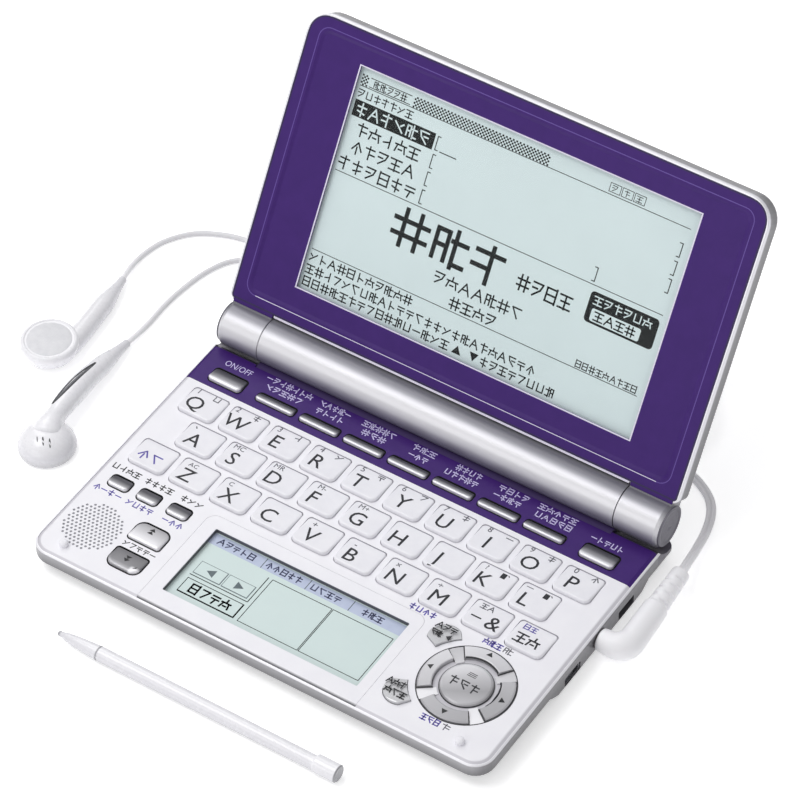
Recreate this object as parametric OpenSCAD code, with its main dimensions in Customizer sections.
// Clamshell electronic dictionary with a stylus and wired earphones.
// Origin: on the resting plane, under the middle of the hinge axis.
// +X to the right, +Y to the rear, +Z up. Millimetres.

/* [Case] */
// Overall width of the case
case_w = 148; // [147:0.5:149]
// Front wall, distance from the hinge axis
case_front = 95.8; // [95.5:0.1:96.5]
// Height of the deck above the table
deck_h = 8.6; // [8.5:0.05:8.8]
// Height of the lower case's flat bottom above the table
bottom_h = 3.3; // [3.1:0.1:3.3]
// Height of the deep band's bottom above the table
band_h = 0.7; // [0.6:0.1:0.8]
// Radius of the front corners in plan
corner_r = 6; // [5:0.5:7]
// Thickness of the deck plates
deck_t = 1.5; // [1.3:0.1:1.5]

/* [Hinge and lid] */
// Height of the hinge axis above the table
axis_h = 12.8; // [12.8:0.1:13]
// Radius of the hinge barrel
barrel_r = 6.8; // [6.6:0.1:6.8]
// Half length of the barrel's middle part
barrel_half = 58.7; // [58.5:0.1:58.7]
// Opening angle of the lid as shown
lid_open = 122.5; // [110:0.5:130]
// Distance from the hinge axis to the lid's far edge
lid_len = 95.5; // [95:0.5:96]
// Radius of the hinge pins
pin_r = 2; // [1.8:0.1:2]

/* [Keys] */
// Width of a character key
key_w = 11.7; // [11:0.1:11.8]
// Depth of a character key
key_d = 10.1; // [9.6:0.1:10.2]
// Spacing of the character keys
key_pitch = 13.75; // [13.7:0.05:13.8]
// Height of a key's front edge above the deck
key_rise = 1.2; // [0.9:0.1:1.2]
// Clearance round a key in its hole
key_gap = 0.2; // [0.15:0.05:0.25]

/* [Stylus and earphones] */
// Radius of the stylus shaft
stylus_r = 2.15; // [2:0.05:2.2]
// Radius of the channel that holds the stylus
silo_r = 2.25; // [2.25:0.05:2.3]
// Radius of the plug's pin
plug_r = 1.75; // [1.7:0.05:1.75]
// Diameter of one earphone lead
lead_d = 1.6; // [1.4:0.1:1.8]
// Width of the flat twin cord
twin_w = 2.8; // [2.6:0.1:3]

/* [Hidden] */
$fn = 64;

half_w = case_w / 2;
front = -case_front;
rear = 1.5;
deck_under = deck_h - deck_t;
rim_h = deck_h - 0.3;
floor_in = bottom_h + 1.1;
band_in = band_h + 1.2;
foot_z = 6.4;
// Depths on the deck are counted from the front rim
function dy(d) = d - case_front + 0.14;

pad_x = 54.6;
pad_y = dy(22.3);
row_x = [-62.6, -55.6, -63.1];
row_n = [10, 9, 10];
row_y = [dy(62.75), dy(51.3), dy(39.5)];
screw_at = [[-68.3, -90.3], [68.3, -90.3], [-64, -10.8], [64, -10.8]];
silo_y = -20.5;
silo_z = 3.45;
jack_y = -37.8;
jack_z = 4.4;

// Corner of a square outside the circle that rounds it
module corner(r) { difference() { square(r + 1); circle(r); } }

// Rectangle with its own radius at each corner: front left, front right, rear right, rear left
module rr(x0, y0, x1, y1, r) {
  difference() {
    translate([x0, y0]) square([x1 - x0, y1 - y0]);
    if (r[0] > 0) translate([x0 + r[0], y0 + r[0]]) rotate(180) corner(r[0]);
    if (r[1] > 0) translate([x1 - r[1], y0 + r[1]]) rotate(270) corner(r[1]);
    if (r[2] > 0) translate([x1 - r[2], y1 - r[2]]) corner(r[2]);
    if (r[3] > 0) translate([x0 + r[3], y1 - r[3]]) rotate(90) corner(r[3]);
  }
}

// Round corner post with a fillet at its foot and one at its top
module post(r, z0, z1, f0, f1) {
  rotate_extrude($fn = 32) polygon(concat([[0, z0]],
    [for (a = [0:22.5:90]) [r - f0 + f0 * sin(a), z0 + f0 - f0 * cos(a)]],
    [for (a = [0:22.5:90]) [r - f1 + f1 * cos(a), z1 - f1 + f1 * sin(a)]],
    [[0, z1]]));
}

// Profile in depth and height, drawn along the width
module across(x0, x1) { translate([x0, 0, 0]) rotate([90, 0, 90]) linear_extrude(x1 - x0) children(); }

// Turned shape that starts at a point and runs towards another
module turned(p, q, profile) {
  d = q - p;
  translate(p) rotate([0, acos(d[2] / norm(d)), atan2(d[1], d[0])]) rotate_extrude() polygon(profile);
}

// ---- lower case

module case_shell() {
  r2 = 2.5;
  hull() {
    for (s = [-1, 1]) {
      translate([s * (half_w - corner_r), front + corner_r, 0]) post(corner_r, bottom_h, rim_h, 1.4, 0.7);
      translate([s * (half_w - r2), rear - r2, 0]) post(r2, bottom_h, rim_h, 0.7, 0.7);
    }
  }
  // deep band across the bottom
  intersection() {
    across(-half_w, half_w) polygon([[-62.2, 3.8], [-61.3, 3.3], [-56.7, band_h], [-17.7, band_h],
      [-13.4, 3.3], [-12.5, 3.8], [-12.5, 5], [-62.2, 5]]);
    translate([0, -10, 0]) rotate([90, 0, 0]) linear_extrude(60) rr(-half_w, band_h, half_w, 7, [1.3, 1.3, 0, 0]);
  }
}

module lower_case() {
  color([0.66, 0.66, 0.67]) difference() {
    union() {
      difference() {
        case_shell();
        // inside of the tray
        translate([0, 0, floor_in]) linear_extrude(10)
          rr(-half_w + 1.3, front + 1.3, half_w - 1.3, -8.4, [4.7, 4.7, 0, 0]);
        across(-half_w + 1.3, half_w - 1.3) polygon([[-61, floor_in], [-56.6, band_in], [-17.9, band_in],
          [-13.7, floor_in], [-13.7, 6], [-61, 6]]);
        // step that the deck rests on
        translate([0, 0, deck_under]) linear_extrude(10)
          rr(-half_w + 0.7, front + 0.7, half_w - 0.7, 3, [5.3, 5.3, 0, 0]);
      }
      // channel for the stylus
      translate([-half_w + 1, silo_y - 2.95, band_in - 0.4]) cube([half_w + 17, 5.9, 3.3]);
      // pads round the screws
      for (p = screw_at) translate([p[0], p[1], floor_in - 0.2]) cylinder(h = 0.8, r = 2.4);
    }
    // cradle for the barrel and the knuckles
    translate([-half_w - 1, 0, axis_h]) rotate([0, 90, 0]) cylinder(h = case_w + 2, r = 7.75);
    translate([-barrel_half - 0.1, -7.7, 5]) cube([2 * barrel_half + 0.2, 12, 8]);
    translate([-barrel_half - 0.1, -1, 4.8]) cube([2 * barrel_half + 0.2, 12, 8]);
    // stylus channel with the wider mouth for its cap
    translate([-half_w - 1, silo_y, silo_z]) rotate([0, 90, 0]) cylinder(h = 93, r = silo_r);
    translate([-half_w - 1, silo_y, silo_z + 0.45]) rotate([0, 90, 0]) cylinder(h = 8.4, r = 2.7);
    // screw holes
    for (p = screw_at) translate([p[0], p[1], 0]) {
      cylinder(h = 4.15, r = 1.7);
      cylinder(h = 6, r = 0.95);
    }
    // ports in the right wall
    translate([60, jack_y, jack_z]) rotate([0, 90, 0]) cylinder(h = 20, r = 2.7);
    across(60, 80) rr(-55.3, 1.6, -47.4, 5.0, [0.8, 0.8, 0.8, 0.8]);
    across(60, 80) rr(-27.9, 1.6, -20.1, 5.0, [0.3, 0.3, 0.3, 0.3]);
  }
}

// ---- deck

// Whole deck, bevelled along the front and the sides
module deck_slab() {
  r = corner_r - 0.75;
  hull() {
    for (s = [-1, 1]) {
      translate([s * (half_w - corner_r), front + corner_r, deck_under]) {
        cylinder(h = deck_t - 0.5, r = r, $fn = 48);
        cylinder(h = deck_t, r = r - 1.05, $fn = 48);
      }
      translate([s * (half_w - 0.75) - (s > 0 ? 1 : 0), dy(74.8) - 1, deck_under]) cube([1, 1, deck_t - 0.5]);
      translate([s * (half_w - 1.8) - (s > 0 ? 1 : 0), dy(74.8) - 1, deck_under]) cube([1, 1, deck_t]);
    }
  }
}

module frame_outline(g) { rr(-37.6 - g, front - 1, 33.4 + g, dy(36.3) + g, [0, 0, 3 + g, 3 + g]); }

module key_outline(i, k, g = 0) {
  x = row_x[i] + key_pitch * k;
  rr(x - key_w / 2 - g, row_y[i] - g, x + key_w / 2 + g, row_y[i] + key_d + g, [1.8 + g, 1.8 + g, 1 + g, 1 + g]);
}
module small_outline(x, g = 0) {
  rr(x - 3.3 - g, dy(29.5) - g, x + 3.3 + g, dy(33.7) + g, [1.2 + g, 1.2 + g, 1 + g, 1 + g]);
}
module page_up_outline(g = 0) { rr(-52.2 - g, dy(16.7) - g, -41.8 + g, dy(23.7) + g, [0.8, 0.8, 2.5 + g, 2.5 + g]); }
module page_down_outline(g = 0) { rr(-52.2 - g, dy(6.1) - g, -41.8 + g, dy(12.8) + g, [2.5 + g, 2.5 + g, 0.8, 0.8]); }
module leaf_outline(y, g = 0) {
  difference() {
    translate([40.9, y]) circle(4.75 + g);
    translate([pad_x, pad_y]) circle(15.75 - g);
    // blunt ends
    translate([pad_x, pad_y]) rotate(y > pad_y ? 127.5 - 2 * g : 232.5 + 2 * g)
      translate([12, y > pad_y ? -8 : 0]) square([9, 8]);
    translate([pad_x, pad_y]) rotate(y > pad_y ? 154.5 + 2 * g : 205.5 - 2 * g)
      translate([12, y > pad_y ? 0 : -8]) square([9, 8]);
  }
}
module ring_sector(r0, r1, a, g = 0) {
  intersection() {
    difference() { circle(r1 + g); circle(r0 - g); }
    rotate(a) polygon([[(r0 - g) * 0.8 * cos(35), -(r0 - g) * 0.8 * sin(35) - g], [20 * cos(35), -20 * sin(35) - g],
      [20 * cos(35), 20 * sin(35) + g], [(r0 - g) * 0.8 * cos(35), (r0 - g) * 0.8 * sin(35) + g]]);
  }
}

module upper_case() {
  color([0.94, 0.93, 0.96]) {
    difference() {
      union() {
        deck_slab();
        for (p = [screw_at[0], screw_at[1]]) translate([p[0], p[1], 5.05]) cylinder(h = 3, r = 2.1);
      }
      translate([-half_w, dy(74.75), 0]) cube([case_w, 20, 20]);
      linear_extrude(20) frame_outline(0.08);
      for (i = [0:2], k = [0:row_n[i] - 1]) linear_extrude(20) key_outline(i, k, key_gap);
      for (x = [-65.1, -55.4, -45.3]) linear_extrude(20) small_outline(x, key_gap);
      linear_extrude(20) page_up_outline(key_gap);
      linear_extrude(20) page_down_outline(key_gap);
      linear_extrude(20) leaf_outline(pad_y + 10.5, key_gap);
      linear_extrude(20) leaf_outline(pad_y - 10.9, key_gap);
      translate([pad_x, pad_y, 0]) {
        for (a = [0:90:270]) linear_extrude(20) ring_sector(9.3, 13.2, a, key_gap);
        cylinder(h = 20, r = 7.3 + key_gap);
        translate([0, 0, deck_h - 0.35]) cylinder(h = 2, r = 13.6);
      }
      // speaker grille
      linear_extrude(20) for (i = [-6:6], j = [-7:7])
        if (norm([1.32 * (i + (j % 2) / 2), 1.145 * j]) < 8.3)
          translate([-62.4 + 1.32 * (i + (j % 2) / 2), dy(14.7) + 1.145 * j]) circle(0.4, $fn = 8);
      // screw holes
      for (p = screw_at) translate([p[0], p[1], 4]) cylinder(h = 3.3, r = 0.78);
    }
  }
}

module touch_frame() {
  color([0.94, 0.93, 0.96]) difference() {
    intersection() {
      deck_slab();
      linear_extrude(20) frame_outline(0);
    }
    linear_extrude(20) rr(-33.2, dy(6.5), 30.15, dy(32.2), [0.4, 0.4, 0.4, 0.4]);
  }
}

module power_outline(x0, x1, g = 0) { rr(x0 - g, dy(76.8) - g, x1 + g, dy(82) + g, [1.2 + g, 1.2 + g, 1 + g, 1 + g]); }
module bar_outline(k, g = 0) {
  x = -45.5 + 14.8 * k;
  rr(x - 6.3 - g, dy(77.5) - g, x + 6.3 + g, dy(80.6) + g, [0.9 + g, 0.9 + g, 0.9 + g, 0.9 + g]);
}

module function_panel() {
  color([0.29, 0.18, 0.47]) difference() {
    union() {
      translate([0, -6.9, 0]) rotate([90, 0, 0]) linear_extrude(-6.9 - dy(74.85))
        polygon([[-half_w + 0.75, deck_under], [half_w - 0.75, deck_under], [half_w - 0.75, deck_h - 0.5],
          [half_w - 1.8, deck_h], [-half_w + 1.8, deck_h], [-half_w + 0.75, deck_h - 0.5]]);
      for (p = [screw_at[2], screw_at[3]]) translate([p[0], p[1], 5.05]) cylinder(h = 3, r = 2.1);
    }
    translate([-barrel_half - 0.2, -7.7, 0]) cube([2 * barrel_half + 0.4, 10, 20]);
    linear_extrude(20) power_outline(-67.6, -56.8, key_gap);
    linear_extrude(20) power_outline(55.2, 66.0, key_gap);
    for (k = [0:6]) linear_extrude(20) bar_outline(k, key_gap);
    for (p = screw_at) translate([p[0], p[1], 4]) cylinder(h = 3.3, r = 0.78);
  }
}

module touch_display() {
  color([0.8, 0.87, 0.86]) translate([-35.4, dy(4.4), 5.65]) cube([67.8, 29.9, 1.35]);
}

module circuit_board() {
  color([0.1, 0.35, 0.2]) translate([0, 0, floor_in + 0.05]) linear_extrude(0.7) difference() {
    union() {
      rr(-71.5, -93.5, 58.8, -24.2, [3, 1, 1, 1]);
      rr(20.5, -25, 58.8, -13.4, [0.5, 1, 1, 1]);
    }
    translate([-62.4, dy(14.7)]) circle(9.4);
    for (p = screw_at) translate(p) circle(2.9);
  }
}

module key_mat() {
  color([0.5, 0.5, 0.52]) translate([0, 0, 5.2]) linear_extrude(0.4) difference() {
    union() {
      rr(-70.4, -57.6, 71.4, -24.2, [0.5, 0.5, 1, 0.5]);
      rr(20.5, -25, 70, -13.4, [0.5, 0.5, 1, 0.5]);
      rr(34.3, -92, 70, -57, [1, 3, 0.5, 0.5]);
      rr(-70.4, -70, -38.6, -57, [0.5, 0.5, 0.5, 0.5]);
      rr(-53, -91, -40.6, -69, [1, 1, 0.5, 0.5]);
      rr(-69, -17.4, 70, -13.4, [0.5, 0.5, 0.5, 0.5]);
    }
    translate([60.6, -41.6]) square([20, 7.6]);
    translate([-62.4, dy(14.7)]) circle(9.4);
    for (p = screw_at) translate(p) circle(2.9);
  }
}

module speaker() {
  color([0.12, 0.12, 0.13]) translate([-62.4, dy(14.7), 4.45]) difference() {
    cylinder(h = 2.5, r = 8.5);
    translate([0, 0, 2]) cylinder(h = 1, r = 7.7);
  }
}

// ---- barrel and its cells

module sector(a0, a1, r) { polygon([[0, 0], for (i = [0:6]) r * [cos(a0 + (a1 - a0) * i / 6), sin(a0 + (a1 - a0) * i / 6)]]); }

module hinge_barrel() {
  color([0.78, 0.78, 0.8]) difference() {
    union() {
      translate([-barrel_half, 0, axis_h]) rotate([0, 90, 0]) cylinder(h = 2 * barrel_half, r = barrel_r);
      // skirt down to the case
      across(-barrel_half, barrel_half) polygon([[-7.6, 5.05], [-7.6, 8.35], [-4.5, 8.35], [-1.2, 7.2], [-1.2, 5.05]]);
    }
    translate([-47.2, 0, axis_h]) rotate([0, 90, 0]) cylinder(h = 94.4, r = 5.5);
    for (s = [-1, 1]) translate([s > 0 ? 51 : -60, 0, axis_h]) rotate([0, 90, 0]) cylinder(h = 9, r = pin_r + 0.05);
    // opening behind for the cells
    translate([0, 0, axis_h]) across(-46.8, 46.8) sector(-100, 40, 14);
  }
}

module battery_door() {
  color([0.78, 0.78, 0.8]) intersection() {
    translate([-46.6, 0, axis_h]) rotate([0, 90, 0]) difference() {
      cylinder(h = 93.2, r = barrel_r);
      translate([0, 0, -1]) cylinder(h = 96, r = 5.55);
    }
    translate([0, 0, axis_h]) across(-46.6, 46.6) sector(-98.4, 38.4, 14);
  }
}

module battery_cells() {
  color([0.2, 0.25, 0.3]) for (x = [-46.4, 0.6]) translate([x, 0, axis_h]) rotate([0, 90, 0]) {
    cylinder(h = 43.5, r = 5.25);
    cylinder(h = 44.5, r = 1.9);
  }
}

// ---- ports

module earphone_jack() {
  color([0.15, 0.15, 0.16]) difference() {
    union() {
      translate([61, -41.2, 2]) cube([11.6, 6.9, 4.9]);
      translate([61, jack_y, jack_z]) rotate([0, 90, 0]) cylinder(h = 12.9, r = 2.65);
    }
    translate([60, jack_y, jack_z]) rotate([0, 90, 0]) cylinder(h = 20, r = plug_r + 0.08);
  }
}

module usb_port() {
  color([0.8, 0.8, 0.82]) {
    difference() {
      across(66, 73.6) rr(-55.2, 1.65, -47.5, 4.95, [0.7, 0.7, 0.7, 0.7]);
      across(67.5, 80) rr(-54.7, 2.1, -48.0, 4.5, [0.4, 0.4, 0.4, 0.4]);
    }
    translate([67, -53.8, 2.9]) cube([5.4, 4.9, 0.7]);
  }
}

module card_socket() {
  color([0.75, 0.75, 0.77]) difference() {
    translate([60, -28.4, 1.95]) cube([12.6, 8.9, 3.1]);
    translate([61, -27.8, 2.2]) cube([20, 7.6, 2.6]);
  }
}

module base_screws() {
  color([0.3, 0.3, 0.32]) for (p = screw_at) translate([p[0], p[1], 0]) difference() {
    union() {
      translate([0, 0, 3.35]) cylinder(h = 0.8, r = 1.6);
      translate([0, 0, 3.4]) cylinder(h = 3.7, r = 0.78);
    }
    translate([-0.9, -0.2, 3]) cube([1.8, 0.4, 0.7]);
    translate([-0.2, -0.9, 3]) cube([0.4, 1.8, 0.7]);
  }
}

module rear_foot() {
  color([0.16, 0.16, 0.17]) linear_extrude(bottom_h) rr(-28, -6, 28, 0.7, [1.5, 1.5, 0.5, 0.5]);
}

module front_feet() {
  color([0.16, 0.16, 0.17]) for (s = [-1, 1]) translate([s * 56, -82, 0]) cylinder(h = bottom_h, r = 4);
}

module lid_stops() {
  color([0.95, 0.95, 0.96]) for (x = [-65, 63.6]) translate([x, dy(5.1), deck_h])
    rotate_extrude() polygon([[0, 0], [1.3, 0], [1.3, 1], [1.15, 1.4], [0.75, 1.7], [0, 1.8]]);
}

// ---- lid, drawn flat: X along the width, Y away from the hinge axis, Z towards the deck's side

module lid_place() { translate([0, 0, axis_h]) rotate([180 - lid_open, 0, 0]) children(); }

module lid_back_cover() {
  color([0.72, 0.72, 0.74]) lid_place() difference() {
    hull() for (s = [-1, 1]) {
      translate([s * (half_w - 7.5), lid_len - 7.5, 0]) post(7.5, -4.8, 2.2, 1.6, 0.3);
      translate([s * (half_w - 2.2), 7.1 + 2.2, 0]) post(2.2, -4.8, 2.2, 1.6, 0.3);
    }
    translate([0, 0, -3.5]) linear_extrude(10) rr(-half_w + 1.4, 8.5, half_w - 1.4, lid_len - 1.4, [1, 1, 6.1, 6.1]);
    translate([0, 0, 1.35]) linear_extrude(10) {
      rr(-half_w + 0.65, 7.8, half_w - 0.65, lid_len - 0.6, [1.2, 1.2, 6.9, 6.9]);
      for (s = [-1, 1]) translate([s > 0 ? 58.6 : -72.5, 6]) square([13.9, 3]);
    }
    // windows for the knuckles' tongues
    for (s = [-1, 1]) translate([s > 0 ? 59.9 : -71.1, 6, -3.5]) cube([11.2, 4, 1.65]);
  }
}

module lid_bezel() {
  color([0.29, 0.18, 0.47]) lid_place() difference() {
    translate([0, 0, 1.4]) linear_extrude(0.8) {
      rr(-half_w + 0.7, 7.85, half_w - 0.7, lid_len - 0.65, [1.1, 1.1, 6.85, 6.85]);
      for (s = [-1, 1]) translate([s > 0 ? 59.1 : -72.3, 6.85]) square([13.2, 2]);
    }
    // shallow inner panel with a sloping border
    hull() {
      translate([0, 0, 1.85]) linear_extrude(0.01) rr(-68, 12.6, 68, 90, [2, 2, 2, 2]);
      translate([0, 0, 2.3]) linear_extrude(0.01) rr(-69.2, 11.4, 69.2, 91.2, [3, 3, 3, 3]);
    }
    linear_extrude(4) rr(-54.7, 18.5, 54.7, 85.1, [0.4, 0.4, 0.4, 0.4]);
  }
}

module display_window() {
  color([0.85, 0.9, 0.9]) lid_place() translate([-57, 16.3, 0.4]) cube([114, 71, 0.95]);
}

module main_display() {
  color([0.8, 0.87, 0.86]) lid_place() difference() {
    translate([-59, 14.6, -2.6]) cube([118, 74.5, 2.95]);
    translate([-30, 14, -3]) cube([60, 1.6, 2]);
  }
}

module hinge_knuckles() {
  color([0.78, 0.78, 0.8]) lid_place() for (s = [0, 1]) mirror([s, 0, 0]) difference() {
    union() {
      translate([58.95, 0, 0]) rotate([0, 90, 0]) rotate_extrude() polygon([[0, 0], [barrel_r - 0.15, 0],
        [barrel_r, 0.15], [barrel_r, 12.6], [6.5, 13.2], [6.0, 13.7], [5.4, 13.95], [0, 13.95]]);
      across(59.1, 72.3) polygon([[0, -4.2], [7.05, -4.2], [7.05, 1.3], [6.75, 1.3], [6.75, 2.2], [5.95, 2.2], [5.95, 1.4], [0, 1.4]]);
      across(60, 71) polygon([[6, -3.45], [16, -3.45], [16, -1.9], [6, -1.9]]);
    }
    translate([58, 0, 0]) rotate([0, 90, 0]) cylinder(h = 13, r = pin_r);
    translate([71.7, 0, 0]) rotate([0, 90, 0]) cylinder(h = 3, r = 5);
  }
}

module hinge_pins() {
  color([0.6, 0.6, 0.62]) lid_place() for (s = [-1, 1]) translate([s > 0 ? 51.6 : -71, 0, 0]) rotate([0, 90, 0])
    cylinder(h = 19.4, r = pin_r);
}

module hinge_end_caps() {
  color([0.42, 0.41, 0.43]) lid_place() for (s = [0, 1]) mirror([s, 0, 0]) translate([71.72, 0, 0]) rotate([0, 90, 0])
    rotate_extrude() polygon([[0, 0], [4.95, 0], [4.95, 1.0], [4.6, 1.25], [0, 1.35]]);
}

// ---- keys

// Key with a sloping top, proud at its front edge, and a flange under the deck
module wedge_key(y0, y1, rise) {
  intersection() {
    translate([0, 0, foot_z + 0.3]) linear_extrude(6) children(0);
    across(-80, 80) polygon([[y0 - 1, foot_z], [y1 + 1, foot_z], [y1 + 1, deck_h + 0.02], [y1, deck_h + 0.05],
      [y0 + 0.45, deck_h + rise], [y0 + 0.12, deck_h + rise - 0.12], [y0, deck_h + rise - 0.45], [y0 - 1, deck_h + rise - 2]]);
  }
  translate([0, 0, foot_z]) linear_extrude(0.6) children(1);
}

module key_row(i) {
  color([0.95, 0.95, 0.96]) wedge_key(row_y[i], row_y[i] + key_d, key_rise) {
    for (k = [0:row_n[i] - 1]) key_outline(i, k);
    for (k = [0:row_n[i] - 1]) key_outline(i, k, 0.5);
  }
}
module keys_row_1() { key_row(0); }
module keys_row_2() { key_row(1); }
module keys_row_3() { key_row(2); }

module small_key(x) {
  color([0.7, 0.7, 0.72]) wedge_key(dy(29.5), dy(33.7), 1) { small_outline(x); small_outline(x, 0.5); }
}
module key_small_1() { small_key(-65.1); }
module key_small_2() { small_key(-55.4); }
module key_small_3() { small_key(-45.3); }
module key_page_up() { color([0.8, 0.8, 0.82]) wedge_key(dy(16.7), dy(23.7), 1) { page_up_outline(); page_up_outline(0.5); } }
module key_page_down() { color([0.7, 0.7, 0.72]) wedge_key(dy(6.1), dy(12.8), 1) { page_down_outline(); page_down_outline(0.5); } }

module key_power() {
  color([0.75, 0.75, 0.77]) wedge_key(dy(76.8), dy(82), 1.2) { power_outline(-67.6, -56.8); power_outline(-67.6, -56.8, 0.5); }
}
module key_light() {
  color([0.75, 0.75, 0.77]) wedge_key(dy(76.8), dy(82), 1.2) { power_outline(55.2, 66.0); power_outline(55.2, 66.0, 0.5); }
}
module bar_key(k) { color([0.75, 0.75, 0.77]) wedge_key(dy(77.5), dy(80.6), 1.1) { bar_outline(k); bar_outline(k, 0.5); } }
module key_f1() { bar_key(0); }
module key_f2() { bar_key(1); }
module key_f3() { bar_key(2); }
module key_f4() { bar_key(3); }
module key_f5() { bar_key(4); }
module key_f6() { bar_key(5); }
module key_f7() { bar_key(6); }

module arrow_key(a) {
  color([0.8, 0.8, 0.82]) translate([pad_x, pad_y, 0]) {
    intersection() {
      translate([0, 0, foot_z + 0.3]) linear_extrude(6) ring_sector(9.3, 13.2, a);
      rotate_extrude() polygon([[8, foot_z], [14, foot_z], [14, deck_h + 0.2], [13.2, deck_h + 0.35], [12.8, deck_h + 0.6],
        [9.6, deck_h + 0.9], [9.3, deck_h + 0.8], [9.0, deck_h + 0.5], [8, deck_h]]);
    }
    translate([0, 0, foot_z]) linear_extrude(0.6) ring_sector(9.3, 13.2, a, 0.45);
  }
}
module key_right() { arrow_key(0); }
module key_up() { arrow_key(90); }
module key_left() { arrow_key(180); }
module key_down() { arrow_key(270); }

module key_enter() {
  color([0.7, 0.7, 0.73]) translate([pad_x, pad_y, 0]) rotate_extrude() polygon([[0, foot_z], [7.75, foot_z], [7.75, 7],
    [7.3, 7], [7.3, deck_h + 0.1], [7.0, deck_h + 0.45], [6.5, deck_h + 0.6], [0, deck_h + 0.7]]);
}

module leaf_key(y) {
  color([0.78, 0.78, 0.8]) wedge_key(y - 4.75, y + 4.75, 1) { leaf_outline(y); leaf_outline(y, 0.45); }
}
module key_voice() { leaf_key(pad_y + 10.5); }
module key_back() { leaf_key(pad_y - 10.9); }

// ---- stylus, lying in front of the case

sty_y = -112.5;
module stylus_nose() {
  color([0.94, 0.94, 0.95]) translate([-51.5, sty_y, stylus_r]) rotate([0, 90, 0])
    rotate_extrude() polygon([[0, 0], [0.45, 0.1], [0.75, 0.5], [0.85, 1.6], [1.25, 3.2], [1.7, 7], [1.98, 11], [stylus_r, 13.7], [0, 13.7]]);
}
module stylus_shaft() {
  color([0.94, 0.94, 0.95]) translate([-37.8, sty_y, stylus_r]) rotate([0, 90, 0]) rotate_extrude()
    polygon([[0, 0], [stylus_r - 0.2, 0], [stylus_r - 0.2, 0.25], [stylus_r, 0.4], [stylus_r, 70.4], [0, 70.4]]);
}
module stylus_cap() {
  color([0.9, 0.9, 0.92]) translate([32.6, sty_y, 2.6]) rotate([0, 90, 0]) rotate_extrude()
    polygon([[0, 0], [2.4, 0], [2.6, 0.3], [2.6, 7.0], [2.3, 7.3], [0, 7.3]]);
}

// ---- earphones, plugged in and lying on the table

module plug_pin() {
  color([0.85, 0.75, 0.45]) translate([60.4, jack_y, jack_z]) rotate([0, 90, 0]) rotate_extrude()
    polygon([[0, 0], [0.6, 0.1], [1.7, 1.7], [1.2, 3.2], [plug_r, 3.7], [plug_r, 13.8], [0, 13.8]]);
}

// Elbow, arm and ribbed sleeve, as one turned shape along the arm
module plug_body() {
  arm_r = 3.9;
  color([0.93, 0.93, 0.94]) difference() {
    union() {
      translate([74.2, jack_y, jack_z]) rotate([0, 90, 0]) cylinder(h = 7.8, r1 = 3.2, r2 = 3.7);
      translate([82, jack_y, 4.6]) rotate([-88, 0, 1.6]) rotate_extrude() polygon(concat(
        [for (a = [0:15:90]) [arm_r * sin(a), -arm_r * cos(a)]],
        [[3.3, 15.6], [2.7, 16.4]],
        [for (i = [0:3]) each [[2.5 - 0.06 * i, 17.8 + 3 * i], [2.8 - 0.1 * i, 18 + 3 * i], [2.8 - 0.1 * i, 19.2 + 3 * i], [2.5 - 0.06 * i, 19.4 + 3 * i]]],
        [[2.35, 29.4], [2.3, 30.5], [2.1, 30.8], [0, 30.8]]));
    }
    translate([60, jack_y, jack_z]) rotate([0, 90, 0]) cylinder(h = 14.2, r = plug_r);
  }
}

// Points of a smooth curve through a route's own points
function ease(p, i, t) =
  let (a = p[max(i - 1, 0)], b = p[i], c = p[i + 1], d = p[min(i + 2, len(p) - 1)])
  0.5 * (2 * b + (c - a) * t + (2 * a - 5 * b + 4 * c - d) * t * t + (3 * b - a - 3 * c + d) * t * t * t);
function route(p, n) = concat([for (i = [0:len(p) - 2], j = [0:n - 1]) ease(p, i, j / n)], [p[len(p) - 1]]);

// Tube of flat or round section along a route, with eight sides
module cord(p, w, h) {
  n = len(p);
  tan = [for (i = [0:n - 1]) let (d = p[min(i + 1, n - 1)] - p[max(i - 1, 0)]) d / norm(d)];
  side = [for (t = tan) let (s = cross(t, [0, 0, 1])) s / norm(s)];
  pts = [for (i = [0:n - 1], k = [0:7]) p[i] + side[i] * (w / 2 * cos(45 * k)) + cross(side[i], tan[i]) * (h / 2 * sin(45 * k))];
  faces = concat([[for (k = [7:-1:0]) k]],
    [for (i = [0:n - 2], k = [0:7]) [8 * i + k, 8 * i + (k + 1) % 8, 8 * i + 8 + (k + 1) % 8, 8 * i + 8 + k]],
    [[for (k = [0:7]) 8 * (n - 1) + k]]);
  polyhedron(points = pts, faces = faces);
}

coil_at = [40, 46];
twin_route = [[81.1, -7, 5.7], [79.9, -0.5, 3.9], [78.6, 6.2, 2.1], [77.2, 12.8, 1.1], [75.4, 18.3, 0.9], [72.8, 22.6, 0.9],
  [69, 25.8, 0.9], [63, 28.6, 0.9], [54, 29.6, 1.2], [44, 28.3, 1.7]];
twin_tail = [[37, 28.3, 4.5], [28, 31.5, 4.3], [21, 39.5, 3], [13, 45.5, 2]];
lead_a = [[-114.8, 5.3, 2.2], [-116.4, 12, 1.2], [-116.2, 19.3, 0.8], [-114, 26.2, 0.8], [-108.5, 33, 0.8], [-100, 37.3, 0.8],
  [-90, 39.8, 0.8], [-75, 46, 0.8], [-59, 60, 0.8], [-40, 68, 0.8], [-20, 69.5, 0.8], [-12, 66.5, 0.8], [-10, 62, 0.8],
  [-12, 57.5, 0.8], [-20, 55, 0.8], [-38, 57, 0.8], [-45.5, 55.5, 0.8], [-48, 51.3, 0.8], [-45.5, 47.3, 0.8], [-38, 46, 0.8],
  [-15, 48, 0.8], [2, 46.6, 1.2]];
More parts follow.
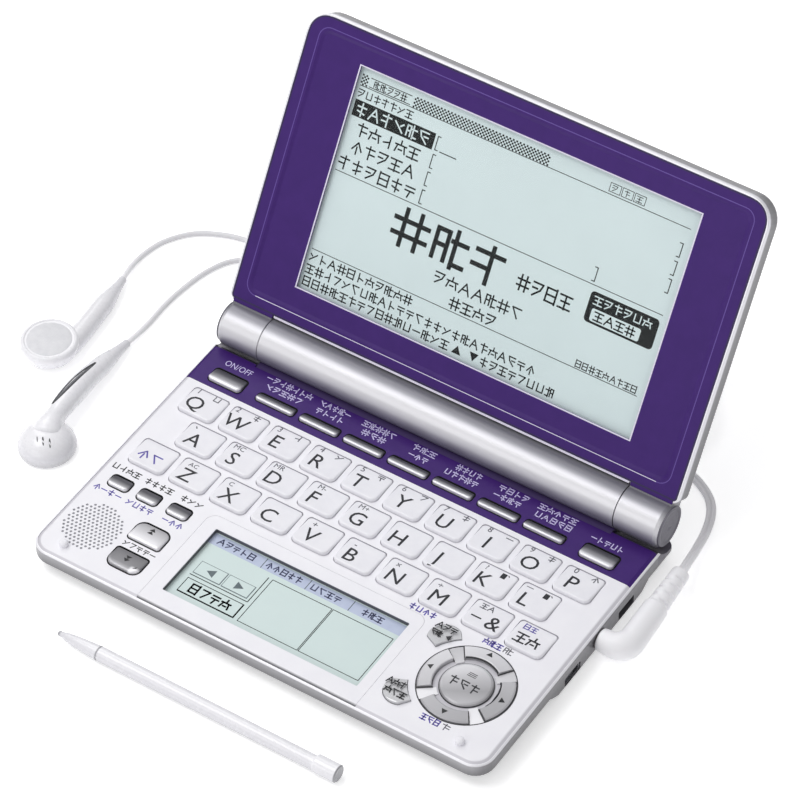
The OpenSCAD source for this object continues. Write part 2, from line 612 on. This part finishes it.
lead_b = [[-99.1, -14.5, 1.7], [-98.9, -5.2, 0.9], [-99.2, 3.7, 0.8], [-98.6, 12.5, 0.8], [-96.6, 22.3, 0.8], [-92.5, 29.8, 0.8],
  [-84, 34.5, 0.8], [-68, 31.5, 0.8], [-50, 24, 0.8], [-25, 19, 0.8], [-16, 21, 0.8], [-13, 25.5, 0.8], [-16, 30, 0.8],
  [-24, 32, 0.8], [-45, 31, 0.8], [-52, 32.5, 0.8], [-54, 36.5, 0.8], [-51.5, 40, 0.8], [-44, 41, 0.8], [-20, 40, 0.8],
  [2, 44.4, 1.2]];

module twin_cord() {
  color([0.92, 0.92, 0.93]) {
    cord(route(twin_route, 2), twin_w, 1.6);
    cord(route(twin_tail, 2), twin_w, 1.6);
    // where the two leads part
    translate([1, 45.5, 2]) rotate([0, 90, 0]) cylinder(h = 12, r = 2);
  }
}
module cord_coil() {
  color([0.92, 0.92, 0.93]) translate([coil_at[0], coil_at[1], 0]) rotate_extrude()
    polygon([[11.7, 1.1], [12.6, 0.2], [18.2, 0.2], [19.1, 1.1], [19.1, 5.1], [18.2, 6], [12.6, 6], [11.7, 5.1]]);
}
module left_lead() { color([0.92, 0.92, 0.93]) cord(route(lead_a, 2), lead_d, lead_d); }
module right_lead() { color([0.92, 0.92, 0.93]) cord(route(lead_b, 2), lead_d, lead_d); }

module left_bud() {
  color([0.93, 0.93, 0.95]) union() {
    translate([-115.9, -28.6, 0]) rotate_extrude() polygon([[0, 0], [3.5, 0], [5.2, 0.5], [6.8, 1.7], [7.7, 3.2], [8.1, 4.6],
      [8.15, 5.6], [7.9, 6.4], [7.3, 6.8], [3, 7.05], [0, 7.1]]);
    turned([-111.3, -26, 3.4], [-114.8, 5.3, 2.2], [[0, 0], [3.2, 0], [3.1, 6], [2.62, 19], [1.3, 31.5], [0, 31.5]]);
  }
}
module right_bud() {
  color([0.93, 0.93, 0.95]) difference() {
    union() {
      translate([-95.2, -58.3, 0]) rotate_extrude() polygon([[0, 0], [7.1, 0], [7.9, 0.35], [8.4, 1.2], [8.4, 2.3], [7.9, 3.7],
        [6.7, 5.3], [5, 6.6], [2.9, 7.4], [0, 7.7]]);
      turned([-97.3, -53, 5.3], [-99.1, -14.5, 1.7], [[0, 0], [3.1, 0], [2.9, 26], [1.3, 38.7], [0, 38.7]]);
    }
    // vent along the stem
    translate([-99.9, -40, 5.4]) rotate([0, 0, 2.7]) translate([-0.4, -9, 0]) cube([0.8, 18, 3]);
  }
}

lower_case();
upper_case();
function_panel();
touch_frame();
touch_display();
circuit_board();
key_mat();
speaker();
hinge_barrel();
battery_cells();
battery_door();
earphone_jack();
usb_port();
card_socket();
base_screws();
rear_foot();
front_feet();
lid_stops();
lid_back_cover();
lid_bezel();
display_window();
main_display();
hinge_knuckles();
hinge_pins();
hinge_end_caps();
key_power();
key_light();
key_f1();
key_f2();
key_f3();
key_f4();
key_f5();
key_f6();
key_f7();
keys_row_1();
keys_row_2();
keys_row_3();
key_small_1();
key_small_2();
key_small_3();
key_page_up();
key_page_down();
key_up();
key_down();
key_left();
key_right();
key_enter();
key_voice();
key_back();
stylus_nose();
stylus_shaft();
stylus_cap();
plug_pin();
plug_body();
twin_cord();
cord_coil();
left_lead();
right_lead();
left_bud();
right_bud();
